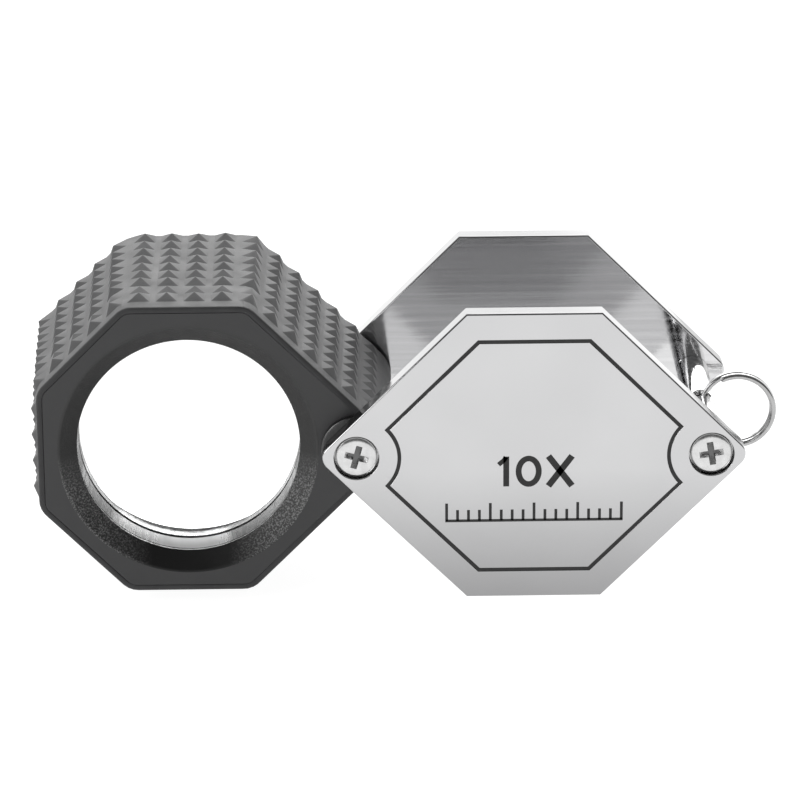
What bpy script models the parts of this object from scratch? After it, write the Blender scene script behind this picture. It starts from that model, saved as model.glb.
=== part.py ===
"""Folding pocket loupe: a triplet magnifier that turns on a pivot post out of a two-plate case.

It stands on the lower edges of its plates and of its rubber grip, with the lens swung
half a turn out of the case. +X runs from the lens to the lanyard ring, +Y from the front
plate to the rear plate, +Z up, and the origin is at the middle of the box's bottom.
"""
import math

import bmesh
import bpy
from mathutils import Matrix, Vector, geometry

MM = 0.001
CLEAR = 0.05 * MM          # gap kept between pieces that touch or run in each other

# Case plates
PLATE_HEIGHT = 27.4 * MM
PLATE_TOP_FLAT = 12.3 * MM
PLATE_THICKNESS = 2.0 * MM
PLATE_TIP_RADIUS = 1.3 * MM
PLATE_EDGE_ROUND = 0.3 * MM
PLATE_GAP = 21.4 * MM      # clear space between the two plates
SCREW_SPAN = 32.4 * MM     # from the pivot screws to the spacer screws
BORDER_INSET = 2.5 * MM
BORDER_WIDTH = 0.32 * MM
BORDER_DEPTH = 0.1 * MM
NOTCH_RADIUS = 3.75 * MM   # the border bends round each screw

# Screws and posts
HEAD_RADIUS = 1.9 * MM
HEAD_HEIGHT = 0.75 * MM
RECESS_RADIUS = 2.08 * MM
RECESS_DEPTH = 1.2 * MM
SHANK_RADIUS = 0.8 * MM
SHANK_LENGTH = 4.0 * MM
CROSS_LENGTH = 2.1 * MM
CROSS_WIDTH = 0.5 * MM
CROSS_DEPTH = 0.45 * MM
POST_RADIUS = 1.5 * MM
RING_HOLE_RADIUS = 0.8 * MM
WASHER_RADIUS = 3.2 * MM
WASHER_THICKNESS = 0.55 * MM
BUSH_RADIUS = 1.9 * MM

# Lens housing and its rubber grip; half flats are from the lens axis to a flat side
LENS_TO_PIVOT = 15.4 * MM
GRIP_HALF_FLAT = 14.4 * MM
LIP_HALF_FLAT = 13.85 * MM
FLANGE_HALF_FLAT = 13.2 * MM
CORE_HALF_FLAT = 12.5 * MM
FLANGE_THICKNESS = 1.2 * MM
EAR_RADIUS = 2.4 * MM
RUBBER_ON_EAR = 0.5 * MM
GRIP_CORNER_ROUND = 0.8 * MM

# Optics
APERTURE_RADIUS = 10.25 * MM
COUNTERSINK_RADIUS = 11.8 * MM
BEZEL_RADIUS = 11.95 * MM
BEZEL_DEPTH = 1.5 * MM
BARREL_RADIUS = 11.6 * MM
BARREL_BORE = 11.05 * MM
LENS_RADIUS = 11.0 * MM
OUTER_CURVE = 18.5 * MM    # radius of curvature of the outer glass surfaces
INNER_CURVE = 16.0 * MM    # radius of curvature of the cemented surfaces
FLINT_EDGE = 2.9 * MM
CROWN_EDGE = 1.0 * MM
GROOVE_WIDTH = 0.2 * MM
GROOVE_DEPTH = 0.25 * MM
GROOVE_FROM_FACE = 4.6 * MM

# Split ring
WIRE_RADIUS = 0.29 * MM
LOOP_RADIUS = 3.25 * MM    # of the wire's centre line
LAYER_OFFSET = 0.32 * MM   # of each of the two layers from the ring's mid-plane
SINGLE_ARC = math.radians(63)  # each side of the post, where only one layer runs
RING_POINTS = 60

CENTRE_Z = GRIP_HALF_FLAT
RING_REACH = LOOP_RADIUS * 2 + WIRE_RADIUS
PIVOT_X = (LENS_TO_PIVOT + GRIP_HALF_FLAT - SCREW_SPAN - RING_REACH) / 2
SPACER_X = PIVOT_X + SCREW_SPAN
LENS_X = PIVOT_X - LENS_TO_PIVOT
PLATE_X = PIVOT_X + SCREW_SPAN / 2
PLATE_INNER_Y = PLATE_GAP / 2
PLATE_OUTER_Y = PLATE_INNER_Y + PLATE_THICKNESS
HOUSING_HALF_DEPTH = PLATE_INNER_Y - WASHER_THICKNESS - 2 * CLEAR
POST_HALF_LENGTH = PLATE_INNER_Y - CLEAR
LENS_HALF_EDGE = FLINT_EDGE + CROWN_EDGE / 2 + CLEAR
FLAT_ANGLE = math.radians(0.5)   # faces closer than this to one plane are joined
FACING = Matrix.Rotation(math.radians(90), 4, "X")   # local Z points to the front


def clear_scene():
    for old in list(bpy.data.objects):
        bpy.data.objects.remove(old, do_unlink=True)


def new_collection(name):
    made = bpy.data.collections.new(name)
    bpy.context.scene.collection.children.link(made)
    return made


clear_scene()
PARTS = new_collection("pocket_loupe")
CUTTERS = new_collection("cutters")


def material(name, colour, metallic, roughness, alpha=1.0):
    made = bpy.data.materials.new(name)
    made.use_nodes = True
    shader = made.node_tree.nodes["Principled BSDF"]
    shader.inputs["Base Color"].default_value = (*colour, 1.0)
    shader.inputs["Metallic"].default_value = metallic
    shader.inputs["Roughness"].default_value = roughness
    shader.inputs["Alpha"].default_value = alpha
    return made


def chrome(name):
    return material(name, (0.78, 0.78, 0.79), 1.0, 0.12)


def steel(name):
    return material(name, (0.62, 0.62, 0.63), 1.0, 0.28)


def black_plastic(name):
    return material(name, (0.04, 0.04, 0.042), 0.0, 0.42)


def glass(name):
    return material(name, (0.93, 0.96, 0.97), 0.0, 0.03, alpha=0.3)


def add_object(name, data, matrix, look=None):
    """Put mesh or curve data in the parts, or in the cutters when it has no material."""
    made = bpy.data.objects.new(name, data)
    made.matrix_world = matrix
    if look is None:
        CUTTERS.objects.link(made)
        made.hide_render = True
        made.display_type = "WIRE"
    else:
        PARTS.objects.link(made)
        data.materials.append(look)
    return made


def at(x, y, z):
    return Matrix.Translation((x, y, z))


def smooth(made, angle=35):
    made.data.shade_smooth()
    made.data.set_sharp_from_angle(angle=math.radians(angle))


def slab(name, outlines, y_low, y_high, look=None, centre=(0.0, 0.0)):
    """Closed outlines in X and Z, the second one a hole in the first, made a solid along Y."""
    flat = bpy.data.curves.new(name, "CURVE")
    flat.dimensions = "2D"
    flat.fill_mode = "BOTH"
    flat.extrude = (y_high - y_low) / 2
    for outline in outlines:
        spline = flat.splines.new("POLY")
        spline.points.add(len(outline) - 1)
        spline.use_cyclic_u = True
        for point, (x, z) in zip(spline.points, outline):
            point.co = (x, z, 0.0, 1.0)
    drawn = bpy.data.objects.new(name, flat)
    bpy.context.scene.collection.objects.link(drawn)
    bpy.context.view_layer.update()
    mesh = bpy.data.meshes.new_from_object(drawn.evaluated_get(bpy.context.evaluated_depsgraph_get()))
    bpy.data.objects.remove(drawn, do_unlink=True)
    shell = bmesh.new()
    shell.from_mesh(mesh)
    bmesh.ops.remove_doubles(shell, verts=shell.verts, dist=0.001 * MM)
    bmesh.ops.dissolve_limit(shell, angle_limit=FLAT_ANGLE, verts=shell.verts, edges=shell.edges)
    bmesh.ops.recalc_face_normals(shell, faces=shell.faces)
    shell.to_mesh(mesh)
    shell.free()
    place = at(centre[0], (y_low + y_high) / 2, centre[1]) @ FACING
    made = add_object(name, mesh, place, look)
    smooth(made)
    return made


def turned(name, profile, place, look=None, steps=48):
    """A profile of (radius, height along the axis) turned about the local Z axis."""
    mesh = bpy.data.meshes.new(name)
    outline = bmesh.new()
    corners = [outline.verts.new((radius, 0.0, height)) for radius, height in profile]
    on_axis = profile[0][0] == 0.0 and profile[-1][0] == 0.0
    for first, second in zip(corners, corners[1:]):
        outline.edges.new((first, second))
    if not on_axis:
        outline.edges.new((corners[-1], corners[0]))
    outline.to_mesh(mesh)
    outline.free()
    made = add_object(name, mesh, place, look)
    screw = made.modifiers.new("turn", "SCREW")
    screw.steps = steps
    screw.render_steps = steps
    screw.use_merge_vertices = True
    screw.merge_threshold = 0.001 * MM
    screw.use_smooth_shade = True
    return made


def rod(name, radius, length, place, look=None, sides=24):
    """A round bar centred on the local origin along the local Z axis."""
    mesh = bpy.data.meshes.new(name)
    shape = bmesh.new()
    bmesh.ops.create_cone(shape, cap_ends=True, segments=sides, radius1=radius, radius2=radius, depth=length)
    shape.to_mesh(mesh)
    shape.free()
    made = add_object(name, mesh, place, look)
    smooth(made)
    return made


def box(name, size, place):
    mesh = bpy.data.meshes.new(name)
    shape = bmesh.new()
    bmesh.ops.create_cube(shape, size=1.0)
    bmesh.ops.scale(shape, vec=size, verts=shape.verts)
    shape.to_mesh(mesh)
    shape.free()
    return add_object(name, mesh, place)


def combine(target, tool, operation="DIFFERENCE"):
    boolean = target.modifiers.new(tool.name, "BOOLEAN")
    boolean.operation = operation
    boolean.solver = "EXACT"
    boolean.object = tool


def round_edges(target, width, angle, segments=3):
    bevel = target.modifiers.new("rounded edges", "BEVEL")
    bevel.width = width
    bevel.segments = segments
    bevel.limit_method = "ANGLE"
    bevel.angle_limit = math.radians(angle)


def arc(centre, radius, start, end, count):
    """Points along an arc from one angle to another, in radians."""
    turn = [start + (end - start) * step / count for step in range(count + 1)]
    return [(centre[0] + radius * math.cos(a), centre[1] + radius * math.sin(a)) for a in turn]


def plate_outline():
    """Flat top and bottom, 45 degree sides that meet in a rounded tip at the left and right."""
    half_top, half_height = PLATE_TOP_FLAT / 2, PLATE_HEIGHT / 2
    tip_centre = half_top + half_height - PLATE_TIP_RADIUS * math.sqrt(2)
    quarter = math.radians(45)
    right = arc((tip_centre, 0.0), PLATE_TIP_RADIUS, -quarter, quarter, 8)
    left = arc((-tip_centre, 0.0), PLATE_TIP_RADIUS, math.pi - quarter, math.pi + quarter, 8)
    return [(half_top, -half_height), *right, (half_top, half_height),
            (-half_top, half_height), *left, (-half_top, -half_height)]


def border_outline(depth):
    """The plate's shape drawn smaller, its tips cut back by arcs about the screws."""
    inset = BORDER_INSET + depth
    half_height = PLATE_HEIGHT / 2 - inset
    half_top = PLATE_TOP_FLAT / 2 - inset * math.tan(math.radians(22.5))
    reach = half_top + half_height
    screw, radius = SCREW_SPAN / 2, NOTCH_RADIUS + depth
    offset = (reach - screw) / math.sqrt(2)
    along = math.sqrt(radius ** 2 - offset ** 2)
    cross_x = screw + (offset - along) / math.sqrt(2)
    angle = math.atan2(reach - cross_x, cross_x - screw)
    right = arc((screw, 0.0), radius, 2 * math.pi - angle, angle, 20)
    left = arc((-screw, 0.0), radius, math.pi - angle, angle - math.pi, 20)
    return [(half_top, -half_height), *right, (half_top, half_height),
            (-half_top, half_height), *left, (-half_top, -half_height)]


def circle(radius, centre=(0.0, 0.0), count=64):
    return arc(centre, radius, 0.0, 2 * math.pi, count)[:-1]


def housing_outline(half_flat, ear_radius, corner_round=0.0):
    """An octagon with straight sides running on to a round ear about the pivot."""
    corner = (half_flat - corner_round) / math.cos(math.radians(22.5))
    points = []
    for step in range(8):
        heading = math.radians(22.5 + 45 * step)
        middle = (corner * math.cos(heading), corner * math.sin(heading))
        if corner_round:
            swing = math.radians(22.5)
            points += arc(middle, corner_round, heading - swing, heading + swing, 4)
        else:
            points.append(middle)
    points += circle(ear_radius, (LENS_TO_PIVOT, 0.0), 48)
    order = geometry.convex_hull_2d([Vector(point) for point in points])
    return [points[index] for index in order]


def make_plate(name, side, with_border):
    """One case plate; side is -1 for the front and 1 for the rear."""
    inner, outer = side * PLATE_INNER_Y, side * PLATE_OUTER_Y
    plate = slab(name, [plate_outline()], min(inner, outer), max(inner, outer),
                 chrome(name), (PLATE_X, CENTRE_Z))
    round_edges(plate, PLATE_EDGE_ROUND, 60)
    for label, x in (("pivot", PIVOT_X), ("spacer", SPACER_X)):
        hole = rod(f"{name}_{label}_hole", SHANK_RADIUS + CLEAR, 2 * PLATE_THICKNESS,
                   at(x, (inner + outer) / 2, CENTRE_Z) @ FACING)
        recess = rod(f"{name}_{label}_recess", RECESS_RADIUS, 2 * RECESS_DEPTH,
                     at(x, outer, CENTRE_Z) @ FACING, sides=40)
        combine(plate, hole)
        combine(plate, recess)
    if with_border:
        groove = slab(f"{name}_border", [border_outline(0.0), border_outline(BORDER_WIDTH)],
                      outer - BORDER_DEPTH, outer + BORDER_DEPTH, centre=(PLATE_X, CENTRE_Z))
        combine(plate, groove)


def make_screw(name, x, side, turn):
    """A flat-headed screw in a plate's recess, its cross recess turned by an angle in degrees."""
    seat = side * (PLATE_OUTER_Y - RECESS_DEPTH)
    outward = FACING if side < 0 else Matrix.Rotation(math.radians(-90), 4, "X")
    place = at(x, seat, CENTRE_Z) @ outward
    profile = [(0.0, HEAD_HEIGHT + CLEAR), (HEAD_RADIUS - 0.15 * MM, HEAD_HEIGHT + CLEAR),
               (HEAD_RADIUS, HEAD_HEIGHT - 0.1 * MM), (HEAD_RADIUS, CLEAR), (SHANK_RADIUS, CLEAR),
               (SHANK_RADIUS, 0.2 * MM - SHANK_LENGTH), (SHANK_RADIUS - 0.2 * MM, -SHANK_LENGTH),
               (0.0, -SHANK_LENGTH)]
    screw = turned(name, profile, place, steel(name), steps=40)
    for step in range(2):
        spin = Matrix.Rotation(math.radians(turn + 90 * step), 4, "Z")
        slot = box(f"{name}_slot_{step}", (CROSS_LENGTH, CROSS_WIDTH, 2 * CROSS_DEPTH),
                   place @ at(0.0, 0.0, HEAD_HEIGHT + CLEAR) @ spin)
        combine(screw, slot)


def make_post(name, x):
    """A round post between the plates, with a blind screw hole in each end."""
    post = rod(name, POST_RADIUS, 2 * POST_HALF_LENGTH, at(x, 0.0, CENTRE_Z) @ FACING, chrome(name), 40)
    hole_depth = SHANK_LENGTH + RECESS_DEPTH
    for side in (-1, 1):
        hole = rod(f"{name}_screw_hole_{side + 1}", SHANK_RADIUS + CLEAR, 2 * hole_depth,
                   at(x, side * (PLATE_INNER_Y + RECESS_DEPTH), CENTRE_Z) @ FACING)
        combine(post, hole)
    return post


def make_washer(name, side):
    middle = side * (PLATE_INNER_Y - CLEAR - WASHER_THICKNESS / 2)
    half = WASHER_THICKNESS / 2
    bore = POST_RADIUS + CLEAR
    profile = [(WASHER_RADIUS, half), (WASHER_RADIUS, -half), (bore, -half), (bore, half)]
    turned(name, profile, at(PIVOT_X, middle, CENTRE_Z) @ FACING, steel(name), 48)


def make_bush():
    half = HOUSING_HALF_DEPTH
    bore = POST_RADIUS + CLEAR
    profile = [(BUSH_RADIUS, half), (BUSH_RADIUS, -half), (bore, -half), (bore, half)]
    look = material("pivot_bush", (0.72, 0.55, 0.28), 1.0, 0.3)
    turned("pivot_bush", profile, at(PIVOT_X, 0.0, CENTRE_Z) @ FACING, look, 40)


def make_housing():
    """Spool-shaped body: an octagonal core between two flanges, with the pivot ear."""
    place = (LENS_X, CENTRE_Z)
    half = HOUSING_HALF_DEPTH
    core = housing_outline(CORE_HALF_FLAT, EAR_RADIUS)
    flange = housing_outline(FLANGE_HALF_FLAT, EAR_RADIUS)
    body = slab("lens_housing", [core], -half, half, black_plastic("lens_housing"), place)
    for side in (-1, 1):
        ends = sorted((side * half, side * (half - FLANGE_THICKNESS)))
        rim = slab(f"housing_flange_{side + 1}", [flange], ends[0], ends[1], centre=place)
        combine(body, rim, "UNION")
        seat = rod(f"housing_bezel_seat_{side + 1}", BEZEL_RADIUS + CLEAR, 2 * BEZEL_DEPTH + 2 * CLEAR,
                   at(LENS_X, side * half, CENTRE_Z) @ FACING, sides=64)
        combine(body, seat)
    bore = rod("housing_bore", BARREL_RADIUS + CLEAR, 3 * half, at(LENS_X, 0.0, CENTRE_Z) @ FACING, sides=64)
    ear_bore = rod("housing_ear_bore", BUSH_RADIUS + CLEAR, 3 * half, at(PIVOT_X, 0.0, CENTRE_Z) @ FACING)
    combine(body, bore)
    combine(body, ear_bore)


def make_grip():
    """Rubber sleeve in the spool, its lips standing round the two flanges."""
    place = (LENS_X, CENTRE_Z)
    flange_from = HOUSING_HALF_DEPTH - FLANGE_THICKNESS
    outer_ear = EAR_RADIUS + RUBBER_ON_EAR
    outer = housing_outline(GRIP_HALF_FLAT, outer_ear, GRIP_CORNER_ROUND)
    lip = housing_outline(LIP_HALF_FLAT, outer_ear, GRIP_CORNER_ROUND)
    inner = housing_outline(CORE_HALF_FLAT + CLEAR, EAR_RADIUS + CLEAR)
    flange = housing_outline(FLANGE_HALF_FLAT + CLEAR, EAR_RADIUS + CLEAR)
    look = material("rubber_grip", (0.055, 0.055, 0.058), 0.0, 0.75)
    grip = slab("rubber_grip", [outer, inner], -flange_from + CLEAR, flange_from - CLEAR, look, place)
    for side in (-1, 1):
        ends = sorted((side * HOUSING_HALF_DEPTH, side * (flange_from - 4 * CLEAR)))
        rim = slab(f"grip_lip_{side + 1}", [lip, flange], ends[0], ends[1], centre=place)
        combine(grip, rim, "UNION")


def make_bezel(name, side):
    """Countersunk ring round the lens opening; its local Z points out of the housing."""
    outward = FACING if side < 0 else Matrix.Rotation(math.radians(-90), 4, "X")
    place = at(LENS_X, side * HOUSING_HALF_DEPTH, CENTRE_Z) @ outward
    land = 0.2 * MM
    profile = [(BEZEL_RADIUS, 0.0), (BEZEL_RADIUS, -BEZEL_DEPTH), (APERTURE_RADIUS, -BEZEL_DEPTH),
               (APERTURE_RADIUS, land - BEZEL_DEPTH), (COUNTERSINK_RADIUS, 0.0)]
    turned(name, profile, place, black_plastic(name))


def make_barrel():
    half = HOUSING_HALF_DEPTH - BEZEL_DEPTH - 2 * CLEAR
    profile = [(BARREL_RADIUS, half), (BARREL_RADIUS, -half), (BARREL_BORE, -half), (BARREL_BORE, half)]
    turned("lens_barrel", profile, at(LENS_X, 0.0, CENTRE_Z) @ FACING, steel("lens_barrel"))


def surface_rise(curve, radius):
    """How far a convex surface stands above its rim at a distance from the lens's axis."""
    return math.sqrt(curve ** 2 - radius ** 2) - math.sqrt(curve ** 2 - LENS_RADIUS ** 2)


def make_retainer(name, side):
    """Threaded ring that holds the glass in the barrel, with a groove round its bore."""
    outward = FACING if side < 0 else Matrix.Rotation(math.radians(-90), 4, "X")
    top = HOUSING_HALF_DEPTH - BEZEL_DEPTH - 2 * CLEAR
    foot = LENS_HALF_EDGE + CLEAR
    seat = foot + surface_rise(OUTER_CURVE, APERTURE_RADIUS)
    groove = HOUSING_HALF_DEPTH - GROOVE_FROM_FACE
    deep = APERTURE_RADIUS + GROOVE_DEPTH
    profile = [(LENS_RADIUS, top), (LENS_RADIUS, foot), (APERTURE_RADIUS, seat),
               (APERTURE_RADIUS, groove - GROOVE_WIDTH), (deep, groove - GROOVE_WIDTH),
               (deep, groove), (APERTURE_RADIUS, groove), (APERTURE_RADIUS, top)]
    turned(name, profile, at(LENS_X, 0.0, CENTRE_Z) @ outward, steel(name))


def cap_curve(curve, edge_height, rings=5):
    """Points of a convex surface from its axis out to the lens's rim."""
    radii = [LENS_RADIUS * math.sin(math.pi / 2 * step / rings) for step in range(rings + 1)]
    return [(radius, edge_height + surface_rise(curve, radius)) for radius in radii]


def make_glass():
    """Cemented triplet: a biconvex crown between two flint menisci."""
    crown_edge = CROWN_EDGE / 2
    half_crown = cap_curve(INNER_CURVE, crown_edge)
    lower = [(radius, -height) for radius, height in reversed(half_crown)]
    turned("crown_element", half_crown + lower, at(LENS_X, 0.0, CENTRE_Z) @ FACING, glass("crown_element"))
    outer = cap_curve(OUTER_CURVE, LENS_HALF_EDGE)
    inner = cap_curve(INNER_CURVE, crown_edge + CLEAR)
    for name, side in (("front_flint_element", -1), ("rear_flint_element", 1)):
        outward = FACING if side < 0 else Matrix.Rotation(math.radians(-90), 4, "X")
        turned(name, outer + inner[::-1], at(LENS_X, 0.0, CENTRE_Z) @ outward, glass(name))


def ring_point(angle):
    """Centre line of the split ring; it crosses from the front layer to the rear one in the post."""
    share = min(abs(angle - math.pi) / SINGLE_ARC, 1.0)
    layer = -1 if angle > math.pi else 1
    return (LOOP_RADIUS * (1 + math.cos(angle)), layer * LAYER_OFFSET * math.sin(share * math.pi / 2),
            LOOP_RADIUS * math.sin(angle))


def ring_route():
    """The wire starts on the front layer, runs round to the post, through it, and round again."""
    start = 3 * math.pi - SINGLE_ARC
    sweep = 4 * math.pi - 2 * SINGLE_ARC
    return [ring_point(start - sweep * step / RING_POINTS) for step in range(RING_POINTS + 1)]


def make_split_ring():
    wire = bpy.data.curves.new("split_ring", "CURVE")
    wire.dimensions = "3D"
    wire.bevel_depth = WIRE_RADIUS
    wire.bevel_resolution = 2
    wire.use_fill_caps = True
    spline = wire.splines.new("POLY")
    route = ring_route()
    spline.points.add(len(route) - 1)
    for point, place in zip(spline.points, route):
        point.co = (*place, 1.0)
    hinge = bpy.data.objects.new("ring_axis", None)
    hinge.location = (SPACER_X, 0.0, CENTRE_Z)
    PARTS.objects.link(hinge)
    ring = add_object("split_ring", wire, at(0.0, 0.0, 0.0), steel("split_ring"))
    ring.parent = hinge


def main():
    make_plate("front_cover", -1, with_border=True)
    make_plate("rear_cover", 1, with_border=False)
    make_post("pivot_post", PIVOT_X)
    spacer = make_post("spacer_post", SPACER_X)
    combine(spacer, rod("ring_hole", RING_HOLE_RADIUS, 4 * POST_RADIUS, at(SPACER_X, 0.0, CENTRE_Z)))
    make_screw("front_pivot_screw", PIVOT_X, -1, 28)
    make_screw("front_spacer_screw", SPACER_X, -1, 4)
    make_screw("rear_pivot_screw", PIVOT_X, 1, 60)
    make_screw("rear_spacer_screw", SPACER_X, 1, 17)
    make_washer("front_friction_washer", -1)
    make_washer("rear_friction_washer", 1)
    make_bush()
    make_housing()
    make_grip()
    for name, side in (("front_bezel", -1), ("rear_bezel", 1)):
        make_bezel(name, side)
    make_barrel()
    for name, side in (("front_retaining_ring", -1), ("rear_retaining_ring", 1)):
        make_retainer(name, side)
    make_glass()
    make_split_ring()
    bpy.context.view_layer.update()


main()
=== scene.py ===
"""Looks of the folding pocket loupe: polished plates, studded rubber grip, glass, screws and ring.

Lengths below are in millimetres where a constant says MM, and in metres otherwise.
"""
import math
import random

import bmesh
import bpy
from mathutils import Matrix, Vector, geometry


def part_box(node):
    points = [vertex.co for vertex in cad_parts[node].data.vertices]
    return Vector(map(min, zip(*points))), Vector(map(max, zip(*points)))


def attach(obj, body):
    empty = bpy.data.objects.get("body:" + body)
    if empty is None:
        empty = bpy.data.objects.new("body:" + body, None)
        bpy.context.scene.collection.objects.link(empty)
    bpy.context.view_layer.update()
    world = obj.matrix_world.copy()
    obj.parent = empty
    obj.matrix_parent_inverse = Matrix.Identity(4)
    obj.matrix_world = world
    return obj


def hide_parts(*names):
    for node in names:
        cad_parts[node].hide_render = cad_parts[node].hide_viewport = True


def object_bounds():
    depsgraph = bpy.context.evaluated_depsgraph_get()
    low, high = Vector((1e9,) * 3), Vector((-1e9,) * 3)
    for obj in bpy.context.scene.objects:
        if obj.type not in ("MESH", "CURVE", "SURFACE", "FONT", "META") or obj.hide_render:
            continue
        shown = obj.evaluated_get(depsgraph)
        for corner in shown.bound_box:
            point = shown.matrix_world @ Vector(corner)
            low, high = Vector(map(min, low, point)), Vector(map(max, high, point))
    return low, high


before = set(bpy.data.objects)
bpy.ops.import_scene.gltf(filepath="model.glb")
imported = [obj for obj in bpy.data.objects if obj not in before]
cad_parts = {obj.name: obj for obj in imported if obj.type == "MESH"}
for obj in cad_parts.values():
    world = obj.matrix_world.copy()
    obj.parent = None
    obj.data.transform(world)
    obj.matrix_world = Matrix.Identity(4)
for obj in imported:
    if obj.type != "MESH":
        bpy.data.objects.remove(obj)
CAD_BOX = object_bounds()
MM = 0.001


def centre(node):
    low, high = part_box(node)
    return tuple((a + b) / 2 for a, b in zip(low, high))


# Places read from the frame
LENS_X, _, CENTRE_Z = centre("lens_barrel")
PIVOT_X = centre("pivot_post")[0]
SPACER_X = centre("spacer_post")[0]
PLATE_X = centre("front_cover")[0]
PLATE_INNER_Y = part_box("rear_cover")[0][1]
PLATE_OUTER_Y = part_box("rear_cover")[1][1]
PLATE_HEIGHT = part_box("rear_cover")[1][2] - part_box("rear_cover")[0][2]
HOUSING_HALF_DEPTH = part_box("lens_housing")[1][1]
GRIP_HALF_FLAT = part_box("rubber_grip")[1][2] - CENTRE_Z
FLANGE_HALF_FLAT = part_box("lens_housing")[1][2] - CENTRE_Z
POST_HALF_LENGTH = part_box("pivot_post")[1][1]
POST_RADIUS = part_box("pivot_post")[1][0] - PIVOT_X
WASHER_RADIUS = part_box("front_friction_washer")[1][0] - PIVOT_X
HEAD_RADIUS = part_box("front_pivot_screw")[1][0] - PIVOT_X
LENS_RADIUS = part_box("crown_element")[1][0] - LENS_X
BEZEL_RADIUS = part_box("front_bezel")[1][0] - LENS_X
BEZEL_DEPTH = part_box("rear_bezel")[1][1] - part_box("rear_bezel")[0][1]
SCREW_SPAN = SPACER_X - PIVOT_X
LENS_TO_PIVOT = PIVOT_X - LENS_X

# Plates
PLATE_TOP_FLAT = 12.3 * MM
PLATE_TIP_RADIUS = 1.3 * MM
PLATE_EDGE_ROUND = 0.17 * MM
COPLANAR_SHIFT = 0.01 * MM  # keeps the end of a cutter off the plate's face
FOOT_SHADE = 0.62           # painted shade: share of the metal's colour that is left at the plates' feet
FOOT_SHADE_TOP = 13.0 * MM  # height at which that painted shade ends
UPPER_RIM_SHADE = 0.38      # the same share of painted shade on metal that looks up, to keep the rims below white
BORDER_INSET = 2.5 * MM
BORDER_WIDTH = 0.32 * MM
BORDER_DEPTH = 0.1 * MM
NOTCH_RADIUS = 3.75 * MM
RECESS_RADIUS = 2.08 * MM
RECESS_DEPTH = 1.2 * MM
HEAD_HEIGHT = 0.95 * MM
CROSS_WIDTH = 0.6 * MM
CROSS_LENGTH = 2.4 * MM
CROSS_DEPTH = 0.55 * MM
ENAMEL_SINK = 0.015 * MM    # of the black fill below the plate's face
PRINT_THICKNESS = 0.012 * MM
RING_HOLE_RADIUS = 0.98 * MM

# Housing and grip
EAR_RADIUS = 2.4 * MM
RUBBER_ON_EAR = 0.5 * MM
FLANGE_THICKNESS = 1.2 * MM
FACE_CORNER = 1.2 * MM
GRIP_CORNER = 2.0 * MM
STUD_HEIGHT = 0.6 * MM
STUD_WIDTH = 1.98 * MM
STUD_ROWS = 9
FLARE = 0.03                # widening of the sleeve from front to rear, per length
SMOOTH_BAND = 1.6 * MM      # between the front edge and the first row of studs
LOW_ROW = 1                 # the second row from the front is moulded lower
LOW_ROW_SHARE = 0.72        # of the other rows' height
COLUMNS_TO_TOP = 9          # stud columns from the far left to the middle of the top
COLUMNS_EACH_WAY = 17
COLUMN_SHIFT = 0.8 * MM     # of the columns round the sleeve
GROOVE_DEPTH = 0.25 * MM

# Optics
APERTURE_RADIUS = 10.25 * MM
COUNTERSINK_RADIUS = 11.8 * MM
RETAINER_GROOVE = 4.25 * MM # from the housing's face
GROOVE_WIDTH = 0.55 * MM
OUTER_CURVE = 18.5 * MM
FLINT_EDGE = 2.9 * MM
CROWN_EDGE = 1.0 * MM
CLEAR = 0.05 * MM
LENS_HALF_EDGE = FLINT_EDGE + CROWN_EDGE / 2 + CLEAR
BORE_DEEP, BORE_MOUTH = 0.1, 0.03       # painted shade: grey of the bore's metal deep inside and at its mouth, darker at the mouth
BORE_FADE = (6.2 * MM, 7.8 * MM)        # from the lens's middle
BORE_EDGE = 0.68                        # tint of its reflections at a low angle

# Light
FLOOR_GLOW = 0.94
FLOOR_DROP = 0.6 * MM       # below the CAD's lowest point, because the flared sleeve reaches lower
WORLD_FRONT, WORLD_BACK = 0.15, 2.4
WORLD_FADE = (-0.4, 0.85)   # direction along Y where the surround's fade starts and ends

# Camera
CAMERA_AZIMUTH, CAMERA_ELEVATION, CAMERA_ROLL = -0.825, 19.46, -0.384   # degrees
CAMERA_DISTANCE = 0.4211
CAMERA_LENS, CAMERA_SENSOR = 202.3, 36.0
AIM_LEFT_OF_PLATE, AIM_ABOVE_CENTRE = 12.015 * MM, 1.11 * MM

# Split ring
WIRE_RADIUS = 0.29 * MM
LOOP_RADIUS = 3.38 * MM
RING_HANG = 0.18 * MM       # of the ring's middle below the post's axis
LAYER_OFFSET = 0.32 * MM
SINGLE_ARC = math.radians(63)

FRONT = Matrix.Rotation(math.radians(90), 4, "X")    # local Z points to the front
REAR = Matrix.Rotation(math.radians(-90), 4, "X")    # local Z points to the rear


# ---------------------------------------------------------------- materials

def new_material(name, colour, metallic, roughness):
    made = bpy.data.materials.new(name)
    made.use_nodes = True
    nodes, links = made.node_tree.nodes, made.node_tree.links
    shader = nodes["Principled BSDF"]
    shader.inputs["Base Color"].default_value = (*colour, 1.0)
    shader.inputs["Metallic"].default_value = metallic
    shader.inputs["Roughness"].default_value = roughness
    return made, nodes, links, shader


def noise_at(nodes, links, scale, detail=3.0, stretch=(1.0, 1.0, 1.0)):
    """Noise in object space; scale is in cycles per metre."""
    place = nodes.new("ShaderNodeTexCoord")
    mapping = nodes.new("ShaderNodeMapping")
    mapping.inputs["Scale"].default_value = stretch
    texture = nodes.new("ShaderNodeTexNoise")
    texture.inputs["Scale"].default_value = scale
    texture.inputs["Detail"].default_value = detail
    links.new(place.outputs["Object"], mapping.inputs["Vector"])
    links.new(mapping.outputs["Vector"], texture.inputs["Vector"])
    return texture.outputs["Fac"]


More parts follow.
